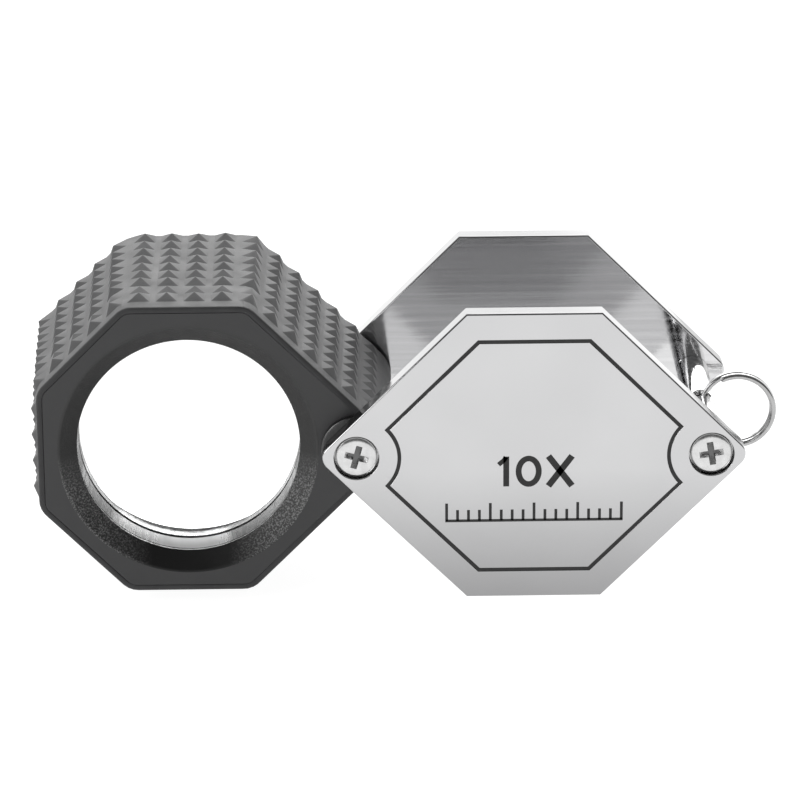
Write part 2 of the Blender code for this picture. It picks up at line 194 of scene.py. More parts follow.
def ranged(nodes, links, value, low, high, from_low=0.3, from_high=0.7):
    span = nodes.new("ShaderNodeMapRange")
    span.inputs["From Min"].default_value = from_low
    span.inputs["From Max"].default_value = from_high
    span.inputs["To Min"].default_value = low
    span.inputs["To Max"].default_value = high
    links.new(value, span.inputs["Value"])
    return span.outputs["Result"]


def add_bump(nodes, links, shader, height, strength, distance, under=None):
    bump = nodes.new("ShaderNodeBump")
    bump.inputs["Strength"].default_value = strength
    bump.inputs["Distance"].default_value = distance
    links.new(height, bump.inputs["Height"])
    if under is not None:
        links.new(under, bump.inputs["Normal"])
    links.new(bump.outputs["Normal"], shader.inputs["Normal"])
    return bump.outputs["Normal"]


def tinted(nodes, links, shader, value, dark, light):
    ramp = nodes.new("ShaderNodeValToRGB")
    ramp.color_ramp.elements[0].position = 0.3
    ramp.color_ramp.elements[1].position = 0.7
    ramp.color_ramp.elements[0].color = (*dark, 1.0)
    ramp.color_ramp.elements[1].color = (*light, 1.0)
    links.new(value, ramp.inputs["Fac"])
    links.new(ramp.outputs["Color"], shader.inputs["Base Color"])


def chrome_material():
    """Polished plate with faint lengthwise polishing lines and a slight orange peel.

    Its colour is darkened by painted shade towards the plates' feet and on faces that look up, such as the
    upper rims.
    """
    made, nodes, links, shader = new_material("polished_chrome", (0.66, 0.66, 0.665), 1.0, 0.1)
    haze = noise_at(nodes, links, 260.0, 4.0)
    links.new(ranged(nodes, links, haze, 0.06, 0.14), shader.inputs["Roughness"])
    lines = noise_at(nodes, links, 900.0, 5.0, (0.03, 1.0, 2.2))
    first = add_bump(nodes, links, shader, lines, 0.10, 0.00002)
    peel = noise_at(nodes, links, 120.0, 2.0)
    add_bump(nodes, links, shader, peel, 0.05, 0.0001, first)
    cloud = noise_at(nodes, links, 90.0, 2.0)
    tinted(nodes, links, shader, cloud, (0.53, 0.53, 0.535), (0.56, 0.56, 0.565))
    colour = shader.inputs["Base Color"].links[0].from_socket
    place = nodes.new("ShaderNodeTexCoord")
    height = nodes.new("ShaderNodeSeparateXYZ")
    links.new(place.outputs["Object"], height.inputs["Vector"])
    # painted shade: the colour darkens towards the plates' feet and on faces that look up
    foot_painted_shade = ranged(nodes, links, height.outputs["Z"], FOOT_SHADE, 1.0, 0.5 * MM, FOOT_SHADE_TOP)
    facing = nodes.new("ShaderNodeSeparateXYZ")
    links.new(place.outputs["Normal"], facing.inputs["Vector"])
    rim = ranged(nodes, links, facing.outputs["Z"], 1.0, UPPER_RIM_SHADE, 0.3, 0.6)
    both = nodes.new("ShaderNodeMath")
    both.operation = "MULTIPLY"
    links.new(foot_painted_shade, both.inputs[0])
    links.new(rim, both.inputs[1])
    mix = nodes.new("ShaderNodeVectorMath")
    mix.operation = "SCALE"
    links.new(colour, mix.inputs["Vector"])
    links.new(both.outputs["Value"], mix.inputs["Scale"])
    links.new(mix.outputs["Vector"], shader.inputs["Base Color"])
    return made


def brushed_chrome_material():
    """The rear plate's inner face shows stronger lengthwise brushing."""
    made, nodes, links, shader = new_material("brushed_chrome", (0.64, 0.64, 0.645), 1.0, 0.14)
    lines = noise_at(nodes, links, 1400.0, 6.0, (0.02, 1.0, 1.6))
    links.new(ranged(nodes, links, lines, 0.04, 0.11), shader.inputs["Roughness"])
    add_bump(nodes, links, shader, lines, 0.12, 0.00003)
    tinted(nodes, links, shader, lines, (0.58, 0.58, 0.585), (0.70, 0.70, 0.705))
    return made


def steel_material(name, grey, roughness):
    made, nodes, links, shader = new_material(name, (grey, grey, grey * 1.01), 1.0, roughness)
    wear = noise_at(nodes, links, 1500.0, 4.0)
    links.new(ranged(nodes, links, wear, roughness * 0.7, roughness * 1.4), shader.inputs["Roughness"])
    add_bump(nodes, links, shader, noise_at(nodes, links, 5000.0, 3.0), 0.08, 0.00002)
    tinted(nodes, links, shader, wear, (grey * 0.9,) * 3, (min(grey * 1.1, 1.0),) * 3)
    return made


def turned_metal_material():
    """Bore with painted shade that darkens it towards the mouth of the turned rings, where local Z is the
    depth.

    Its fine lines run round the CAD barrel, but along the bore on the turned rings.
    """
    made, nodes, links, shader = new_material("turned_metal", (0.07, 0.07, 0.0705), 1.0, 0.3)
    lines = noise_at(nodes, links, 4000.0, 3.0, (0.02, 1.0, 0.02))
    links.new(ranged(nodes, links, lines, 0.2, 0.34), shader.inputs["Roughness"])
    add_bump(nodes, links, shader, lines, 0.15, 0.00002)
    place = nodes.new("ShaderNodeTexCoord")
    depth = nodes.new("ShaderNodeSeparateXYZ")
    links.new(place.outputs["Object"], depth.inputs["Vector"])
    # painted shade: the bore darkens towards its mouth
    shade = ranged(nodes, links, depth.outputs["Z"], BORE_DEEP, BORE_MOUTH, *BORE_FADE)
    links.new(shade, shader.inputs["Base Color"])
    shader.inputs["Specular Tint"].default_value = (BORE_EDGE, BORE_EDGE, BORE_EDGE, 1.0)
    return made


def rubber_material():
    """Matte moulded rubber: fine grain, slight mottling and a soft sheen at a low angle."""
    made, nodes, links, shader = new_material("grip_rubber", (0.06, 0.06, 0.062), 0.0, 0.6)
    shader.inputs["Specular IOR Level"].default_value = 0.3
    shader.inputs["Sheen Weight"].default_value = 0.12
    shader.inputs["Sheen Roughness"].default_value = 0.5
    mottle = noise_at(nodes, links, 500.0, 4.0)
    tinted(nodes, links, shader, mottle, (0.026, 0.026, 0.027), (0.042, 0.042, 0.043))
    links.new(ranged(nodes, links, mottle, 0.52, 0.68), shader.inputs["Roughness"])
    grain = noise_at(nodes, links, 9000.0, 2.0)
    first = add_bump(nodes, links, shader, grain, 0.25, 0.00003)
    add_bump(nodes, links, shader, noise_at(nodes, links, 900.0, 3.0), 0.15, 0.00008, first)
    return made


def face_plastic_material():
    """Satin moulded plastic with a very fine grain."""
    made, nodes, links, shader = new_material("housing_plastic", (0.022, 0.022, 0.023), 0.0, 0.35)
    cloud = noise_at(nodes, links, 350.0, 3.0)
    links.new(ranged(nodes, links, cloud, 0.30, 0.42), shader.inputs["Roughness"])
    tinted(nodes, links, shader, cloud, (0.020, 0.020, 0.021), (0.027, 0.027, 0.028))
    add_bump(nodes, links, shader, noise_at(nodes, links, 7000.0, 2.0), 0.12, 0.00002)
    return made


def bezel_material():
    """Black countersink with a coarse grain; painted glints on the grain at the front one's lower left and
    lower right, and painted shade darkening its lower part.

    The rear bezel lies the other way up, so there the glints are at the upper left and upper right and the
    painted shade at its top.
    """
    made, nodes, links, shader = new_material("bezel_plastic", (0.012, 0.012, 0.012), 0.0, 0.3)
    grain = noise_at(nodes, links, 6500.0, 3.0)
    place = nodes.new("ShaderNodeTexCoord")
    axes = nodes.new("ShaderNodeSeparateXYZ")
    links.new(place.outputs["Object"], axes.inputs["Vector"])
    across = nodes.new("ShaderNodeMath")
    across.operation = "ABSOLUTE"
    links.new(axes.outputs["X"], across.inputs[0])
    # painted glints on the grain, at the lower left and lower right
    sideways = ranged(nodes, links, across.outputs["Value"], 0.0, 1.0, 3.5 * MM, 8.0 * MM)
    lower = ranged(nodes, links, axes.outputs["Y"], 1.0, 0.0, -4.0 * MM, -0.5 * MM)
    both = nodes.new("ShaderNodeMath")
    both.operation = "MULTIPLY"
    links.new(sideways, both.inputs[0])
    links.new(lower, both.inputs[1])
    painted_glint = nodes.new("ShaderNodeMath")
    painted_glint.operation = "MULTIPLY"
    links.new(both.outputs["Value"], painted_glint.inputs[0])
    links.new(ranged(nodes, links, grain, 0.025, 0.2, 0.46, 0.66), painted_glint.inputs[1])
    # painted shade: darker towards the bottom
    lower_painted_shade = ranged(nodes, links, axes.outputs["Y"], 0.011, 0.042, -7.5 * MM, -1.0 * MM)
    total = nodes.new("ShaderNodeMath")
    total.operation = "ADD"
    links.new(lower_painted_shade, total.inputs[1])
    links.new(painted_glint.outputs["Value"], total.inputs[0])
    links.new(total.outputs["Value"], shader.inputs["Base Color"])
    shader.inputs["Specular IOR Level"].default_value = 0.25
    patches = noise_at(nodes, links, 420.0, 2.0)
    links.new(ranged(nodes, links, patches, 0.3, 0.5), shader.inputs["Roughness"])
    add_bump(nodes, links, shader, grain, 0.5, 0.00005)
    return made


def enamel_material():
    made, nodes, links, shader = new_material("black_enamel", (0.008, 0.008, 0.008), 0.0, 0.45)
    add_bump(nodes, links, shader, noise_at(nodes, links, 4000.0, 2.0), 0.1, 0.00002)
    links.new(ranged(nodes, links, noise_at(nodes, links, 2000.0), 0.4, 0.55), shader.inputs["Roughness"])
    return made


def glass_material():
    """Clear glass; its low index keeps dark crescents out of the view through it."""
    made, nodes, links, shader = new_material("coated_glass", (0.985, 0.99, 0.99), 0.0, 0.0)
    shader.inputs["Transmission Weight"].default_value = 1.0
    shader.inputs["IOR"].default_value = 1.4
    return made


def brass_material():
    made, nodes, links, shader = new_material("bush_brass", (0.72, 0.52, 0.25), 1.0, 0.28)
    lines = noise_at(nodes, links, 3000.0, 3.0, (0.05, 1.0, 0.05))
    links.new(ranged(nodes, links, lines, 0.2, 0.4), shader.inputs["Roughness"])
    return made


def floor_material():
    """Pale tabletop that glows, so that it comes out almost white with hardly any shadow."""
    made, nodes, links, shader = new_material("pale_floor", (0.2, 0.2, 0.2), 0.0, 0.9)
    shader.inputs["Specular IOR Level"].default_value = 0.0
    shader.inputs["Emission Color"].default_value = (1.0, 1.0, 1.0, 1.0)
    shader.inputs["Emission Strength"].default_value = FLOOR_GLOW
    tinted(nodes, links, shader, noise_at(nodes, links, 300.0, 3.0), (0.2, 0.2, 0.2), (0.22, 0.22, 0.22))
    return made


CHROME = chrome_material()
BRUSHED = brushed_chrome_material()
SCREW_STEEL = steel_material("screw_steel", 0.62, 0.2)
# painted shade: a slightly darker, rougher copy of the plate metal for the walls of the screw recesses
RECESS_WALL_PAINTED_SHADE = steel_material("recess_wall_painted_shade", 0.5, 0.25)
WASHER_STEEL = steel_material("washer_steel", 0.12, 0.35)
# painted shade: dark steel for the screws' cross slots and the retainers' groove and seat
RECESS_PAINTED_SHADE_STEEL = steel_material("recess_painted_shade_steel", 0.16, 0.4)
RING_STEEL = steel_material("ring_steel", 0.42, 0.16)
POST_CHROME = steel_material("post_chrome", 0.62, 0.12)
TURNED = turned_metal_material()
# painted light: a lighter copy of the turned metal, for the retainers' band behind the groove
TURNED_BRIGHT = steel_material("turned_bright", 0.15, 0.25)
RUBBER = rubber_material()
PLASTIC = face_plastic_material()
BEZEL = bezel_material()
ENAMEL = enamel_material()
GLASS = glass_material()
BRASS = brass_material()


# ---------------------------------------------------------------- mesh helpers

def at(x, y, z):
    return Matrix.Translation((x, y, z))


def add_mesh(name, mesh, look, place=Matrix.Identity(4)):
    made = bpy.data.objects.new(name, mesh)
    bpy.context.scene.collection.objects.link(made)
    made.matrix_world = place
    if look is not None:
        mesh.materials.append(look)
    return made


def smooth(made, angle=32):
    made.data.shade_smooth()
    made.data.set_sharp_from_angle(angle=math.radians(angle))


def settle(made):
    """Apply an object's modifiers to its mesh."""
    bpy.context.view_layer.update()
    mesh = bpy.data.meshes.new_from_object(made.evaluated_get(bpy.context.evaluated_depsgraph_get()))
    made.modifiers.clear()
    made.data = mesh


def bevel(made, width, angle, segments=3):
    edge = made.modifiers.new("bevel", "BEVEL")
    edge.width = width
    edge.segments = segments
    edge.limit_method = "ANGLE"
    edge.angle_limit = math.radians(angle)
    settle(made)


def combine(made, tool, operation="DIFFERENCE"):
    boolean = made.modifiers.new("combine", "BOOLEAN")
    boolean.operation = operation
    boolean.solver = "EXACT"
    boolean.object = tool
    settle(made)
    bpy.data.objects.remove(tool, do_unlink=True)


def weight_normals(made):
    """Smooth shading that keeps the large flat faces flat."""
    made.data.shade_smooth()
    weighted = made.modifiers.new("weighted normals", "WEIGHTED_NORMAL")
    weighted.weight = 80
    weighted.keep_sharp = True
    made.data.set_sharp_from_angle(angle=math.radians(60))


def prism(name, outline, y_low, y_high, look=None, middle=(0.0, 0.0)):
    """A closed outline in X and Z made a solid along Y."""
    shape = bmesh.new()
    verts = [shape.verts.new((middle[0] + x, y_low, middle[1] + z)) for x, z in outline]
    face = shape.faces.new(verts)
    grown = bmesh.ops.extrude_face_region(shape, geom=[face])
    moved = [item for item in grown["geom"] if isinstance(item, bmesh.types.BMVert)]
    bmesh.ops.translate(shape, verts=moved, vec=(0.0, y_high - y_low, 0.0))
    bmesh.ops.recalc_face_normals(shape, faces=shape.faces)
    mesh = bpy.data.meshes.new(name)
    shape.to_mesh(mesh)
    shape.free()
    return add_mesh(name, mesh, look)


def turned(name, profile, place, look=None, steps=128):
    """A profile of (radius, height) turned about the local Z axis; it runs down its outer side."""
    shape = bmesh.new()
    rings = []
    for radius, height in profile:
        if radius == 0.0:
            rings.append([shape.verts.new((0.0, 0.0, height))])
            continue
        turn = [2 * math.pi * step / steps for step in range(steps)]
        rings.append([shape.verts.new((radius * math.cos(a), radius * math.sin(a), height)) for a in turn])
    pairs = list(zip(rings, rings[1:]))
    if profile[0][0] > 0.0:
        pairs.append((rings[-1], rings[0]))
    for upper, lower in pairs:
        for step in range(steps):
            after = (step + 1) % steps
            corners = [upper[step % len(upper)], lower[step % len(lower)],
                       lower[after % len(lower)], upper[after % len(upper)]]
            shape.faces.new(list(dict.fromkeys(corners)))
    mesh = bpy.data.meshes.new(name)
    shape.to_mesh(mesh)
    shape.free()
    made = add_mesh(name, mesh, look, place)
    smooth(made)
    return made


def arc(middle, radius, start, end, count):
    turn = [start + (end - start) * step / count for step in range(count + 1)]
    return [(middle[0] + radius * math.cos(a), middle[1] + radius * math.sin(a)) for a in turn]


def circle(radius, middle=(0.0, 0.0), count=96):
    return arc(middle, radius, 0.0, 2 * math.pi, count)[:-1]


def finish_piece(made, body, *nodes):
    """Let a piece ride on a body and stand for CAD nodes."""
    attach(made, body)
    if nodes:
        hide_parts(*nodes)
    return made


# ---------------------------------------------------------------- plates

def plate_outline():
    half_top, half_height = PLATE_TOP_FLAT / 2, PLATE_HEIGHT / 2
    tip = half_top + half_height - PLATE_TIP_RADIUS * math.sqrt(2)
    quarter = math.radians(45)
    right = arc((tip, 0.0), PLATE_TIP_RADIUS, -quarter, quarter, 20)
    left = arc((-tip, 0.0), PLATE_TIP_RADIUS, math.pi - quarter, math.pi + quarter, 20)
    return [(half_top, -half_height), *right, (half_top, half_height),
            (-half_top, half_height), *left, (-half_top, -half_height)]


def border_outline(depth):
    """The plate's shape drawn smaller, its tips cut back by arcs about the screws."""
    inset = BORDER_INSET + depth
    half_height = PLATE_HEIGHT / 2 - inset
    half_top = PLATE_TOP_FLAT / 2 - inset * math.tan(math.radians(22.5))
    reach = half_top + half_height
    screw, radius = SCREW_SPAN / 2, NOTCH_RADIUS + depth
    offset = (reach - screw) / math.sqrt(2)
    cross = screw + (offset - math.sqrt(radius ** 2 - offset ** 2)) / math.sqrt(2)
    angle = math.atan2(reach - cross, cross - screw)
    right = arc((screw, 0.0), radius, 2 * math.pi - angle, angle, 48)
    left = arc((-screw, 0.0), radius, math.pi - angle, angle - math.pi, 48)
    return [(half_top, -half_height), *right, (half_top, half_height),
            (-half_top, half_height), *left, (-half_top, -half_height)]


def border_ring(name, y_low, y_high, look=None, ease=0.0):
    """A band between two border outlines; ease narrows it by that much on each side.

    Both ends lie in front of the middle, so the factors 1.1 and 0.9 make the core the longer one.
    """
    middle = (PLATE_X, CENTRE_Z)
    band = prism(name, border_outline(ease), y_low, y_high, look, middle)
    core = prism("band_core", border_outline(BORDER_WIDTH - ease), y_low * 1.1, y_high * 0.9, None, middle)
    combine(band, core)
    return band


def make_plate(node, side, border):
    inner, outer = side * PLATE_INNER_Y, side * PLATE_OUTER_Y
    plate = prism(f"{node}_polished", plate_outline(), min(inner, outer), max(inner, outer),
                  CHROME, (PLATE_X, CENTRE_Z))
    bevel(plate, PLATE_EDGE_ROUND, 60, 5)
    for x in (PIVOT_X, SPACER_X):
        seat = prism("seat", circle(RECESS_RADIUS), min(outer, outer - side * RECESS_DEPTH),
                     max(outer, outer - side * RECESS_DEPTH), None, (x, CENTRE_Z))
        seat.location.y = side * COPLANAR_SHIFT
        combine(plate, seat)
    if border:
        combine(plate, border_ring("groove", outer - BORDER_DEPTH, outer + BORDER_DEPTH))
    bevel(plate, 0.04 * MM, 70, 2)
    plate.data.materials.append(BRUSHED)
    # slot 2, for the screw recesses' walls, is painted shade
    plate.data.materials.append(RECESS_WALL_PAINTED_SHADE)
    for face in plate.data.polygons:
        spot = face.center
        from_screw = min(math.hypot(spot.x - x, spot.z - CENTRE_Z) for x in (PIVOT_X, SPACER_X))
        if abs(spot.y - inner) < 0.01 * MM:
            face.material_index = 1
        elif from_screw < RECESS_RADIUS + 0.005 * MM and abs(spot.y) < PLATE_OUTER_Y - 0.06 * MM:
            face.material_index = 2
    weight_normals(plate)
    finish_piece(plate, "case", node)


def make_border_fill():
    face = -PLATE_OUTER_Y
    fill = border_ring("border_enamel", face + ENAMEL_SINK, face + BORDER_DEPTH, ENAMEL, 0.01 * MM)
    finish_piece(fill, "case")


# ---------------------------------------------------------------- marking

def ribbon(shape, points, width, closed=False):
    """A stroke of even width along points in X and Z, added to a bmesh as a thin raised print."""
    count = len(points)
    sides = []
    for index, (x, z) in enumerate(points):
        before = points[index - 1] if index or closed else points[index]
        after = points[(index + 1) % count] if index < count - 1 or closed else points[index]
        along = Vector((after[0] - before[0], after[1] - before[1])).normalized()
        across = Vector((-along.y, along.x)) * width / 2
        sides.append(((x + across.x, z + across.y), (x - across.x, z - across.y)))
    rows = []
    for (left, right) in sides:
        rows.append([shape.verts.new((PLATE_X + px, -PLATE_OUTER_Y - lift, CENTRE_Z + pz))
                     for lift in (0.0, PRINT_THICKNESS) for px, pz in (left, right)])
    pairs = list(zip(rows, rows[1:]))
    if closed:
        pairs.append((rows[-1], rows[0]))
    for first, second in pairs:
        for a, b in ((0, 1), (1, 3), (3, 2), (2, 0)):
            shape.faces.new((first[a], first[b], second[b], second[a]))
    if not closed:
        for row in (rows[0], rows[-1]):
            shape.faces.new((row[0], row[1], row[3], row[2]))


def make_marking():
    """A magnification of ten, 10X, above a plain rule with 1 mm ticks, printed in black."""
    shape = bmesh.new()
    low, high, pen, cap = -2.66 * MM, -0.22 * MM, 0.54 * MM, 0.23 * MM
    mid = (low + high) / 2
    flag = [(-3.25 * MM, high - 0.55 * MM), (-2.75 * MM, high - 0.12 * MM), (-2.58 * MM, high + 0.2 * MM)]
    ribbon(shape, flag, pen * 0.8)
    stem_x = -2.55 * MM
    ribbon(shape, [(stem_x, high + cap), (stem_x, low - cap)], pen)
    zero_x, zero_wide, zero_tall = -0.5 * MM, 0.92, 1.24
    turns = [2 * math.pi * step / 40 for step in range(40)]
    oval = [(zero_wide * math.cos(turn), zero_tall * math.sin(turn)) for turn in turns]
    ribbon(shape, [(x * MM + zero_x, mid + z * MM) for x, z in oval], pen, closed=True)
    times_x, times_reach = 2.38 * MM, 1.08 * MM
    for way in (-1, 1):
        stroke = [(times_x - way * times_reach, low - cap), (times_x + way * times_reach, high + cap)]
        ribbon(shape, stroke, pen * 1.1)
    rule_z, reach, thin = -6.2 * MM, 8, 0.26 * MM
    ribbon(shape, [(-reach * MM - thin / 2, rule_z), (reach * MM + thin / 2, rule_z)], thin)
    for tick in range(-reach, reach + 1):
        tall = 1.7 * MM if tick % 4 == 0 else 1.05 * MM
        ribbon(shape, [(tick * MM, rule_z), (tick * MM, rule_z + tall)], thin)
    bmesh.ops.recalc_face_normals(shape, faces=shape.faces)
    mesh = bpy.data.meshes.new("rule_print")
    shape.to_mesh(mesh)
    shape.free()
    marking = add_mesh("front_marking", mesh, ENAMEL)
    finish_piece(marking, "case")


# ---------------------------------------------------------------- screws, posts and washers

def cross_blade(place, turn):
    """One tapered blade of the cross recess, wider and longer at the face than at its foot."""
    shape = bmesh.new()
    bmesh.ops.create_cube(shape, size=1.0)
    for vert in shape.verts:
        low = vert.co.z < 0
        vert.co.x *= CROSS_LENGTH * (0.6 if low else 1.0)
        vert.co.y *= CROSS_WIDTH * (0.7 if low else 1.05)
        vert.co.z = -CROSS_DEPTH if low else 0.1 * MM
    mesh = bpy.data.meshes.new("cross_blade")
    shape.to_mesh(mesh)
    shape.free()
    return add_mesh("cross_blade", mesh, None, place @ Matrix.Rotation(math.radians(turn), 4, "Z"))


def make_screw(node, x, side, turn):
    seat = side * (PLATE_OUTER_Y - RECESS_DEPTH)
    place = at(x, seat, CENTRE_Z) @ (FRONT if side < 0 else REAR)
    crown = HEAD_HEIGHT + 0.04 * MM
    dome = [(HEAD_RADIUS * share, crown - 0.08 * MM * share ** 2) for share in (0.0, 0.25, 0.5, 0.75, 0.9)]
    rim = [(HEAD_RADIUS - 0.06 * MM, HEAD_HEIGHT - 0.09 * MM),
           (HEAD_RADIUS - 0.02 * MM, HEAD_HEIGHT - 0.12 * MM),
           (HEAD_RADIUS, HEAD_HEIGHT - 0.17 * MM)]
    low = [(HEAD_RADIUS, CLEAR), (0.8 * MM, CLEAR), (0.8 * MM, -3.8 * MM),
           (0.6 * MM, -4.0 * MM), (0.0, -4.0 * MM)]
    screw = turned(f"{node}_turned", dome + rim + low, place, SCREW_STEEL, 72)
    screw.data.materials.append(RECESS_PAINTED_SHADE_STEEL)
    for step in range(2):
        combine(screw, cross_blade(place @ at(0, 0, crown), turn + 90 * step))
    for face in screw.data.polygons:
        spot = face.center
        flat = math.hypot(spot.x, spot.y) < HEAD_RADIUS * 0.75 and spot.z < crown - 0.16 * MM
        # painted shade: the faces of the cross slots take the dark steel
        face.material_index = 1 if flat and spot.z > 0.1 * MM else 0
    bevel(screw, 0.03 * MM, 45, 2)
    smooth(screw, 40)
    finish_piece(screw, "case", node)


def make_post(node, x, ring_hole):
    half, round_off = POST_HALF_LENGTH, 0.12 * MM
    profile = [(0.0, half), (POST_RADIUS - round_off, half), (POST_RADIUS, half - round_off),
               (POST_RADIUS, round_off - half), (POST_RADIUS - round_off, -half), (0.0, -half)]
    post = turned(f"{node}_turned", profile, at(x, 0.0, CENTRE_Z) @ FRONT, POST_CHROME, 72)
    if ring_hole:
        hole = turned("hole", [(0.0, 3 * MM), (RING_HOLE_RADIUS, 3 * MM), (RING_HOLE_RADIUS, -3 * MM),
                               (0.0, -3 * MM)], at(x, 0.0, CENTRE_Z), None, 48)
        combine(post, hole)
        bevel(post, 0.06 * MM, 50, 2)
        smooth(post, 35)
    finish_piece(post, "case", node)


def make_washer(node, side):
    low, high = (value[1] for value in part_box(node))
    half, soft = (high - low) / 2, 0.08 * MM
    bore = POST_RADIUS + CLEAR
    profile = [(WASHER_RADIUS - soft, half), (WASHER_RADIUS, half - soft), (WASHER_RADIUS, soft - half),
               (WASHER_RADIUS - soft, -half), (bore, -half), (bore, half)]
    washer = turned(f"{node}_turned", profile, at(PIVOT_X, (low + high) / 2, CENTRE_Z) @ FRONT, WASHER_STEEL)
    finish_piece(washer, "case", node)


# ---------------------------------------------------------------- housing and grip

def housing_outline(half_flat, ear_radius, corner_round, fine=8):
    """An octagon with rounded corners whose sides run on to a round ear about the pivot."""
    reach = (half_flat - corner_round) / math.cos(math.radians(22.5))
    points = []
    for step in range(8):
        heading = math.radians(22.5 + 45 * step)
        middle = (reach * math.cos(heading), reach * math.sin(heading))
        swing = math.radians(22.5)
        points += arc(middle, corner_round, heading - swing, heading + swing, fine)
    points += circle(ear_radius, (LENS_TO_PIVOT, 0.0), 72)
    order = geometry.convex_hull_2d([Vector(point) for point in points])
    return [points[index] for index in order]


def make_housing():
    middle = (LENS_X, CENTRE_Z)
    half = HOUSING_HALF_DEPTH
    core_half_flat = FLANGE_HALF_FLAT - 0.6 * MM
    body = prism("lens_housing_moulded", housing_outline(core_half_flat, EAR_RADIUS, FACE_CORNER),
                 0.3 * MM - half, half - 0.3 * MM, PLASTIC, middle)
    for side in (-1, 1):
        ends = sorted((side * half, side * (half - FLANGE_THICKNESS)))
        rim = prism("rim", housing_outline(FLANGE_HALF_FLAT, EAR_RADIUS, FACE_CORNER), *ends, None, middle)
        combine(body, rim, "UNION")
    cuts = ((BEZEL_RADIUS + CLEAR, LENS_X), (1.95 * MM, PIVOT_X))
    for radius, x in cuts:
        combine(body, prism("bore", circle(radius, count=128), -1.5 * half, 1.5 * half, None, (x, CENTRE_Z)))
    bevel(body, 0.12 * MM, 50, 3)
    weight_normals(body)
    finish_piece(body, "lens", "lens_housing")


class Track:
    """A closed outline that can be walked by distance from its leftmost point."""

    def __init__(self, outline):
        start = min(range(len(outline)), key=lambda index: outline[index][0] + abs(outline[index][1]) * 0.01)
        points = [Vector(point) for point in outline[start:] + outline[:start]]
        if points[1].y < points[-1].y:
            points = [points[0], *points[:0:-1]]
        self.points = points
        self.marks = [0.0]
        for first, second in zip(points, points[1:] + points[:1]):
            self.marks.append(self.marks[-1] + (second - first).length)
        self.length = self.marks[-1]
        self.zero = -points[0].y

    def place(self, distance):
        distance = (distance + self.zero) % self.length
        index = max(i for i, mark in enumerate(self.marks[:-1]) if mark <= distance)
        first = self.points[index]
        second = self.points[(index + 1) % len(self.points)]
        share = (distance - self.marks[index]) / (self.marks[index + 1] - self.marks[index])
        return first.lerp(second, share)

    def outward(self, distance):
        step = 0.12 * MM
        along = self.place(distance + step) - self.place(distance - step)
        return Vector((-along.y, along.x)).normalized()


def grip_stations(track):
    """Places round the sleeve: (distance, stud column or None), five to a stud, then the ear's."""
    side = 2 * (GRIP_HALF_FLAT - STUD_HEIGHT) * math.tan(math.radians(22.5))
    corner_saving = 2 * GRIP_CORNER * (math.tan(math.radians(22.5)) - math.radians(22.5))
    pitch = (2 * side - 2 * corner_saving) / COLUMNS_TO_TOP
    stations = []
    for column in range(-COLUMNS_EACH_WAY, COLUMNS_EACH_WAY + 1):
        for part in range(5):
            stations.append((column * pitch + COLUMN_SHIFT + STUD_WIDTH * (part / 4 - 0.5), column))
    start = stations[-1][0]
    spare = track.length - (start - stations[0][0])
    pieces = round(spare / (0.6 * MM))
    stations += [(start + spare * step / pieces, None) for step in range(1, pieces)]
    return stations


